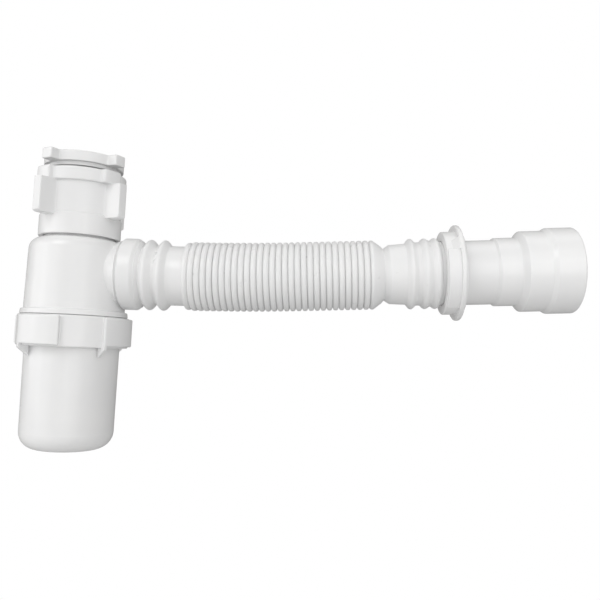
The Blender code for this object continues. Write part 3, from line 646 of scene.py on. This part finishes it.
def boss_shell():
    """The outlet boss as a closed shell: fillet on the body's wall, flare, barbed spigot and bore."""
    waist, flare_growth, flare_start = 0.0190, 0.0026, 0.0216
    spigot, barb, bore, throat = 0.0203, 0.0208, 0.0179, 0.0152
    fillet, fillet_steps, flare_steps = 0.0017, 8, 6
    first_barb, barb_pitch, barb_length, barb_slope = 0.0022, 0.0045, 0.0024, 0.0003
    tip, tip_bevel = 0.0112, 0.0004
    foot_guess, foot_rounds = 0.0206, 8
    turn = np.arange(ROUND) * 2 * math.pi / ROUND
    sine, cosine = np.sin(turn), np.cos(turn)
    top = OUTLET_DROP + SHOULDER_TOP - 0.0005
    rim = CUFF_PLANE - 0.0020

    def capped(radius):
        """The radius held below the shoulder's top."""
        return np.minimum(radius, top / np.maximum(-cosine, 0.01))

    def wall(radius, thickness):
        """Where the body's wall stands along the outlet, round a circle of that radius."""
        out = body_radius(-OUTLET_DROP - radius * cosine) - thickness
        return np.sqrt(np.maximum(out ** 2 - (radius * sine) ** 2, 0))

    def flare(along):
        """Radius of the boss, which widens towards the cuff."""
        part = np.clip((along - flare_start) / (CUFF_PLANE - flare_start), 0, 1)
        return waist + flare_growth * part ** 1.5

    def ring(radius, along):
        """A ring of points about the outlet."""
        radius = radius + np.zeros(ROUND)
        return np.column_stack([along + np.zeros(ROUND), radius * sine, -OUTLET_DROP - radius * cosine])

    foot = capped(np.full(ROUND, foot_guess))
    for _ in range(foot_rounds):
        foot = capped(flare(wall(foot, 0)) + fillet)
    start = wall(foot, 0)
    reach = np.minimum(fillet, 0.5 * (rim - start))
    rings = [ring(foot, start - 0.0010)]
    for step in range(fillet_steps + 1):
        part = math.pi / 2 * step / fillet_steps
        along = start + reach * (1 - math.cos(part))
        rings.append(ring(flare(along) + (foot - flare(start)) * (1 - math.sin(part)), along))
    for step in range(1, flare_steps + 1):
        along = start + reach + (rim - start - reach) * step / flare_steps
        rings.append(ring(flare(along), along))

    outline = [(0.0210, -0.0013), (0.0205, -0.0010), (spigot, -0.0007)]
    for i in range(2):
        base = first_barb + i * barb_pitch
        outline += [(spigot, base), (barb, base + barb_slope), (spigot, base + barb_length)]
    outline += [
        (spigot, tip - tip_bevel),
        (spigot - tip_bevel, tip),
        (bore + 0.0003, tip),
        (bore, tip - 0.0003),
        (bore, 0.0016),
        (throat, -0.0023),
    ]
    rings += [ring(radius, CUFF_PLANE + along) for radius, along in outline]
    rings.append(ring(throat, np.minimum(wall(throat, 0.0022), CUFF_PLANE - 0.0026)))
    for radius, depth in ((0.0156, 0.0023), (0.0166, 0.0023), (0.0170, 0.0014)):
        rings.append(ring(radius, wall(radius, depth)))
    return skin(rings)


def make_body():
    """The body with its neck, shoulder, lip, skirt, outlet boss and threads, and the seal under it."""
    neck, wall, lip = 0.0212, 0.0022, 0.0320
    lip_bore, skirt_bore, seal_radius = 0.0282, 0.0286, 0.0307
    outside = [
        (neck, BODY_MOUTH, 0.0006),
        (neck, SHOULDER_TOP, 0.0008),
        *shoulder_arc(0),
        (BODY_BOTTOM_RADIUS, LIP_TOP, 0.0006),
        (lip, LIP_TOP, 0.0008),
        (lip + 0.0005, LIP_BOTTOM, 0.0005),
        (SKIRT_RADIUS, LIP_BOTTOM, 0.0003),
        (SKIRT_RADIUS, SKIRT_BOTTOM, 0.0006),
    ]
    bore = neck - 0.0023
    inside = [
        (bore + 0.0011, BODY_MOUTH, 0.0003),
        (bore, BODY_MOUTH - 0.0028, 0.0003),
        (bore, SHOULDER_TOP - wall, 0.0010),
        *shoulder_arc(wall),
        (lip_bore, LIP_TOP, 0.0010),
        (skirt_bore, LIP_BOTTOM, 0.0010),
        (skirt_bore, SKIRT_BOTTOM, 0.0004),
    ]
    body = mesh_object("body_wall", [revolve(rounded(outside + inside[::-1]))], WHITE)
    hole_radius, hole_start, hole_end = 0.0158, 0.0120, 0.0400
    points, faces = revolve([(hole_radius, hole_start), (hole_radius, hole_end)], closed=False)
    laid = np.column_stack([points[:, 2], points[:, 1], -OUTLET_DROP - points[:, 0]])
    cut(body, mesh_object("hole", [(laid, faces)], WHITE))
    boss = mesh_object("body_boss", [boss_shell()], WHITE)
    ridges = mesh_object("body_threads", [
        thread(neck, SHOULDER_TOP + 0.0060, turns=6.0, pitch=PITCH, depth=0.0003),
        thread(SKIRT_RADIUS, SKIRT_BOTTOM + 0.0020, turns=2.2, pitch=PITCH, depth=0.0004),
    ], WHITE)
    for made in (body, boss, ridges):
        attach(made, "body")
    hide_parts("trap_body")
    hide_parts("trap_body")

    seal_top = SKIRT_BOTTOM - SEAT
    ring = flat_ring(skirt_bore, seal_radius, seal_top, seal_top - 0.0020, 0.0003)
    piece("flat_seal", [ring], RUBBER, "body", "cup_seal")


def make_cup():
    """The cup with its flange, and the union nut with its pads and their feet."""
    wall, radius, low, corner, flange = 0.0020, 0.0285, 0.0280, 0.0105, 0.0307
    flange_bottom = CUP_TOP - 0.0025
    shape = [
        (0, CUP_FLOOR + wall),
        (low - wall, CUP_FLOOR + wall, corner - wall),
        (radius - wall, CUP_TOP, 0.0004),
        (flange, CUP_TOP, 0.0004),
        (flange, flange_bottom, 0.0004),
        (radius, flange_bottom, 0.0005),
        (low, CUP_FLOOR, corner),
        (0, CUP_FLOOR),
    ]
    flat = rounded(shape, closed=False, steps=12)[1:-1]
    piece("cup_bowl", [revolve(flat, closed=False)], WHITE, "cup", "cup")

    nut_thread, panel, pad, hole = 0.0314, 0.0334, 0.0361, 0.0289
    ring = rounded([
        (nut_thread, UNION_TOP, 0.0005),
        (panel, UNION_TOP, 0.0007),
        (panel, UNION_BOTTOM, 0.0008),
        (hole, UNION_BOTTOM, 0.0004),
        (hole, UNION_WEB_TOP, 0.0004),
        (nut_thread, UNION_WEB_TOP, 0.0006),
    ])
    pad_width = chord(pad, PAD_HALF_SPAN)
    radii, widths, roundings = (panel - 0.0002, pad), (pad_width * 0.90, pad_width), (0.0010, 0.0012)
    outline = lobed(radii, widths, roundings, around(PAD_TURN), tip_steps=16)
    pad_low, pad_high = UNION_BOTTOM + 0.0010, UNION_TOP - 0.0006
    shapes = [revolve(ring), band(outline, pad_low, pad_high, nut_thread + 0.0008, (0.0009, 0.0009))]

    foot_inner, foot_outer, foot_thickness = 0.0292, 0.0360, 0.0021
    foot_top, foot_end = UNION_BOTTOM + 0.0030, UNION_BOTTOM - 0.0057
    foot = [
        (0.0322, foot_top),
        (foot_inner, UNION_BOTTOM + 0.0012),
        (foot_inner, foot_end),
        (0.0300, foot_end),
        (foot_outer, UNION_BOTTOM - 0.0012),
        (foot_outer, foot_top),
    ]
    shapes += [fin(foot, foot_thickness, angle, 0.0004) for angle in around(FOOT_TURN)]
    ridge_start = UNION_WEB_TOP + 0.0035
    shapes.append(thread(nut_thread, ridge_start, turns=3.2, pitch=PITCH, depth=0.0004, side=-1))
    piece("union_ring", shapes, WHITE, "union_nut", "union_nut")


def ridge_outline(centre, width, left, crest, right, steps=14):
    """A wave of the hose's outline between two root radii, round at its crest."""
    points = []
    for step in range(steps + 1):
        part = step / steps
        root = left + (right - left) * part
        swell = math.sin(math.pi * part) ** 1.3
        points.append((root + (crest - root) * swell, centre + width * (part - 0.5)))
    return points


def fold_outline(first, count, root, crest, steps=10):
    """The fine corrugations: a narrow groove, a steep side and a broad rounded crest."""
    points = []
    for i in range(count):
        for step in range(steps):
            part = step / steps
            swell = 1 - abs(2 * part - 1) ** 3.6
            points.append((root + (crest - root) * swell, first + (i + part) * FOLD_PITCH))
    return points


def thinned(outline):
    """The hose's inside behind an outline."""
    return [(radius - HOSE_WALL, distance) for radius, distance in outline]


def near_hose():
    """The hose's cuff, ridges, plain stretch and first corrugations."""
    ridge = (VALLEY_RADIUS, RIDGE_RADIUS)
    outer = [tuple(point) for point in rounded([
        (CUFF_BORE, HOSE_START),
        (CUFF_RADIUS, HOSE_START, 0.0019),
        (CUFF_RADIUS, CUFF_LENGTH - 0.0034, 0.0016),
        (0.0205, CUFF_LENGTH - 0.0010, 0.0012),
        (VALLEY_RADIUS, CUFF_LENGTH, 0.0010),
        (VALLEY_RADIUS, CUFF_LENGTH + 0.0005),
    ], closed=False)[1:-1]]
    inner = [
        (CUFF_BORE, HOSE_START),
        (CUFF_BORE, HOSE_START + 0.0016),
        (CUFF_GROOVE, HOSE_START + 0.0016),
        (CUFF_GROOVE, CUFF_LENGTH - 0.0014),
        (VALLEY_RADIUS - HOSE_WALL, CUFF_LENGTH + HOSE_WALL),
    ]
    for i, right in enumerate((VALLEY_RADIUS, PLAIN_RADIUS)):
        centre = CUFF_LENGTH + (i + 0.5) * RIDGE_PITCH
        outer += ridge_outline(centre, RIDGE_WIDTH, *ridge, right)
        inner += thinned(ridge_outline(centre, RIDGE_BORE_WIDTH, *ridge, right, RIDGE_BORE_STEPS))
    plain = [(PLAIN_RADIUS, PLAIN_START), (PLAIN_RADIUS, PLAIN_END)]
    outer += plain + fold_outline(FOLDS_START, 1, *FIRST_FOLD)
    outer += fold_outline(FOLDS_START + FOLD_PITCH, SPLIT_FOLD - 1, FOLD_ROOT, FOLD_CREST)
    outer.append((FOLD_ROOT, SPLIT))
    inner += thinned(plain)
    inner += thinned(fold_outline(FOLDS_START, SPLIT_FOLD, FOLD_ROOT, FOLD_CREST, FOLD_BORE_STEPS))
    inner.append((FOLD_ROOT - HOSE_WALL, SPLIT))
    return outer + inner[::-1]


def far_hose():
    """The hose's other corrugations, its notch, cone, end ribs and end flange."""
    last_crest = FOLDS_END - 0.46 * FOLD_PITCH
    folds = (SPLIT, FOLD_COUNT - SPLIT_FOLD, FOLD_ROOT, FOLD_CREST)
    outer = [point for point in fold_outline(*folds) if point[1] < last_crest]
    outer.append((FOLD_CREST - 0.0001, last_crest + 0.0004))
    outer += [tuple(point) for point in rounded([
        (0.0180, NOTCH - 0.0017),
        (0.0161, NOTCH, 0.0003),
        (0.0184, NOTCH + 0.0034, 0.0012),
        (0.0190, RIB_CENTRES[0] - 0.0040),
    ], closed=False)]
    inner = thinned(fold_outline(*folds, FOLD_BORE_STEPS))
    inner += [(0.0149, NOTCH), (0.0172, NOTCH + 0.0042)]
    # Centre, width, root before it, crest and root after it
    ribs = (
        (RIB_CENTRES[0], 0.0064, 0.0190, 0.0220, 0.0197),
        (RIB_CENTRES[1], 0.0062, 0.0197, 0.0220, 0.0205),
        (RIB_CENTRES[2], 0.0056, 0.0205, 0.0221, 0.0196),
    )
    for rib in ribs:
        outer += ridge_outline(*rib)
        inner += thinned(ridge_outline(*rib, RIDGE_BORE_STEPS))
    outer.append((0.0195, HOSE_FLANGE_START))
    outer += [(HOSE_FLANGE_RADIUS, HOSE_FLANGE_START), (HOSE_FLANGE_RADIUS, HOSE_END)]
    inner.append((0.0183, HOSE_END))
    return outer + inner[::-1]


def make_hose():
    """The hose in two pieces that meet in its corrugations."""
    near = mesh_object("hose_near", [along_outlet(revolve(near_hose()))], HOSE_WHITE)
    far = mesh_object("hose_far", [along_outlet(revolve(far_hose()))], HOSE_WHITE)
    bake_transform(near)
    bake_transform(far)
    for made in (near, far):
        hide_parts("hose")


def grip_stop(root, tip, inner, angles):
    """The small stops beside the flange nut's grip pads, which rise towards the flange."""
    first, length, steps = END_FLANGE_START - 0.0040, 0.0046, 5
    width = chord(tip, STOP_HALF_SPAN)
    full = lobed((root, tip), (width * 1.02, width), (0.0004, 0.0006), angles, gap_steps=24)
    reach = np.linalg.norm(full, axis=1)[:, None]
    rings = []
    for step in range(steps + 1):
        rise = min((step + 0.5) / (steps - 0.5), 1)
        shape = full / reach * (root + (reach - root) * rise)
        rings.append(level(shape, first + length * step / steps))
    for ring in (rings[-1], rings[0]):
        rings.append(level(on_circle(ring[:, :2], inner), ring[0, 2]))
    return skin(rings)


def make_flange_nut():
    """The flange nut with its collar, wide flange, grip pads and stops."""
    collar, flange, nut_thread, bore, grip, stop = 0.0258, 0.0297, 0.0229, 0.0199, 0.0279, 0.0294
    web_end = END_NUT_START + 0.0025
    wall = rounded([
        (bore, END_NUT_START, 0.0004),
        (collar, END_NUT_START, 0.0007),
        (collar, END_FLANGE_START, 0.0004),
        (flange, END_FLANGE_START, 0.0009),
        (flange, END_FLANGE_END, 0.0009),
        (collar, END_FLANGE_END, 0.0004),
        (collar, END_NUT_END, 0.0007),
        (nut_thread, END_NUT_END, 0.0004),
        (nut_thread, web_end, 0.0004),
        (bore, web_end, 0.0004),
    ])
    grips = around(GRIP_TURN, GRIP_COUNT)
    stops = [angle - math.radians(STOP_BACK_TURN) for angle in grips]
    width = chord(grip, GRIP_HALF_SPAN)
    radii, widths, roundings = (collar - 0.0002, grip), (width * 0.925, width), (0.0008, 0.0009)
    outline = lobed(radii, widths, roundings, grips, tip_steps=20)
    inner = collar - 0.0015
    shapes = [
        revolve(wall),
        band(outline, END_NUT_START + 0.0003, END_FLANGE_START + 0.0006, inner, (0.0007, 0.0004)),
        grip_stop(collar - 0.0004, stop, inner, stops),
        thread(nut_thread, END_NUT_START + 0.0045, turns=2.0, pitch=DRAIN_PITCH, depth=0.0003, side=-1),
    ]
    shapes = [along_outlet(shape) for shape in shapes]
    piece("flange_ring", shapes, WHITE, "flange_nut", "flange_nut")


def make_drain_end():
    """The stepped drain end with its thread."""
    wall, rim_wall, rim_round, slack = 0.0022, 0.0030, 0.0021, 0.00005
    last = len(DRAIN_STEP_RADII) - 1
    place = END_NUT_END + SEAT
    outside = [(DRAIN_THREAD_RADIUS, DRAIN_START, 0.0004), (DRAIN_THREAD_RADIUS, place, 0.0004)]
    inside = [(DRAIN_STEP_RADII[0] - wall, DRAIN_START, 0.0004)]
    steps = zip(DRAIN_STEP_RADII, DRAIN_STEP_LENGTHS, DRAIN_STEP_RAMPS)
    for i, (radius, length, slope) in enumerate(steps):
        if i:
            outside[-1] = (outside[-1][0], place - 0.0004, 0.0010)
        outside.append((radius, place + slope, 0.0010 if i else 0.0005))
        if i > 1:
            thickness = rim_wall if i == last else wall
            inside.append((inside[-1][0], place + wall, 0.0008))
            inside.append((radius - thickness, place + wall, 0.0008))
        place += length - (slack if i == last else 0)
        outside.append((radius, place, rim_round if i == last else 0.0006))
    inside.append((DRAIN_STEP_RADII[-1] - rim_wall, place, 0.0005))
    drain = revolve(rounded(outside + inside[::-1], steps=6))
    ridge_start = DRAIN_START + 0.0012
    ridge = thread(DRAIN_THREAD_RADIUS, ridge_start, turns=1.2, pitch=DRAIN_PITCH, depth=0.0003)
    shapes = [along_outlet(shape) for shape in (drain, ridge)]
    piece("drain_spigot", shapes, WHITE, "drain_end", "outlet_adapter")


def make_outlet_end():
    """The seal, the flange nut and the drain end."""
    seal_bore, seal_radius = 0.0178, 0.0225
    seal = flat_ring(seal_bore, seal_radius, HOSE_END + SEAT, DRAIN_START - SEAT, 0.0003)
    piece("end_seal", [along_outlet(seal)], RUBBER, "drain_end", "hose_end_seal")
    make_flange_nut()
    make_drain_end()


def seen_directly(nodes, links):
    """One where the camera looks straight at a surface, and else zero."""
    rays = nodes.new("ShaderNodeLightPath")
    seen = nodes.new("ShaderNodeMath")
    seen.operation = "MAXIMUM"
    links.new(rays.outputs["Is Camera Ray"], seen.inputs[0])
    links.new(rays.outputs["Is Transmission Ray"], seen.inputs[1])
    return seen.outputs[0]


def mix_surface(nodes, links, factor, first, second, output):
    """Mixes two shaders into the surface of an output."""
    mix = nodes.new("ShaderNodeMixShader")
    links.new(factor, mix.inputs[0])
    links.new(first.outputs[0], mix.inputs[1])
    links.new(second.outputs[0], mix.inputs[2])
    links.new(mix.outputs[0], nodes[output].inputs["Surface"])


def make_stage():
    """A floor far below and a world, both plain white to the camera, and soft lamps all round."""
    bpy.ops.mesh.primitive_plane_add(size=FLOOR_SIZE, location=FLOOR_PLACE)
    floor = bpy.context.object
    floor.name = "floor"
    material, nodes, links, shader = new_material("floor_white")
    shader.inputs["Base Color"].default_value = (FLOOR_GREY, FLOOR_GREY, FLOOR_GREY, 1)
    shader.inputs["Roughness"].default_value = 0.9
    seen = seen_directly(nodes, links)
    glow = nodes.new("ShaderNodeEmission")
    glow.inputs["Color"].default_value = PAGE_WHITE
    glow.inputs["Strength"].default_value = 1
    mix_surface(nodes, links, seen, shader, glow, "Material Output")
    floor.data.materials.append(material)

    world = bpy.data.worlds.new("studio")
    bpy.context.scene.world = world
    world.use_nodes = True
    nodes, links = world.node_tree.nodes, world.node_tree.links
    background = nodes["Background"]
    background.inputs["Color"].default_value = WORLD_COLOUR
    background.inputs["Strength"].default_value = WORLD_STRENGTH
    white = nodes.new("ShaderNodeBackground")
    white.inputs["Color"].default_value = PAGE_WHITE
    white.inputs["Strength"].default_value = 1
    mix_surface(nodes, links, seen_directly(nodes, links), background, white, "World Output")

    for name, place, power in LAMPS:
        data = bpy.data.lights.new(name, "AREA")
        data.shape = "SQUARE"
        data.size = LAMP_SIZE
        data.energy = power
        lamp = bpy.data.objects.new(name, data)
        bpy.context.scene.collection.objects.link(lamp)
        lamp.location = place
        lamp.rotation_euler = (LAMP_TARGET - Vector(place)).to_track_quat("-Z", "Y").to_euler()


def make_camera():
    """The camera of the photograph."""
    data = bpy.data.cameras.new("camera")
    data.sensor_width = 36
    data.lens = CAMERA_LENS
    data.clip_start = 0.01
    data.clip_end = 20
    camera = bpy.data.objects.new("camera", data)
    bpy.context.scene.collection.objects.link(camera)
    turn = Matrix.Rotation(CAMERA_YAW, 3, "Z") @ Matrix.Rotation(CAMERA_PITCH, 3, "X")
    turn = turn @ Matrix.Rotation(CAMERA_ROLL, 3, "Y") @ Matrix.Rotation(math.radians(90), 3, "X")
    camera.matrix_world = Matrix.Translation(CAMERA_PLACE) @ turn.to_4x4()
    bpy.context.scene.camera = camera
    bpy.context.scene.view_settings.view_transform = "Standard"


make_camera()
make_stage()
make_inlet()
make_neck_nut()
make_body()
make_cup()
make_hose()
make_outlet_end()
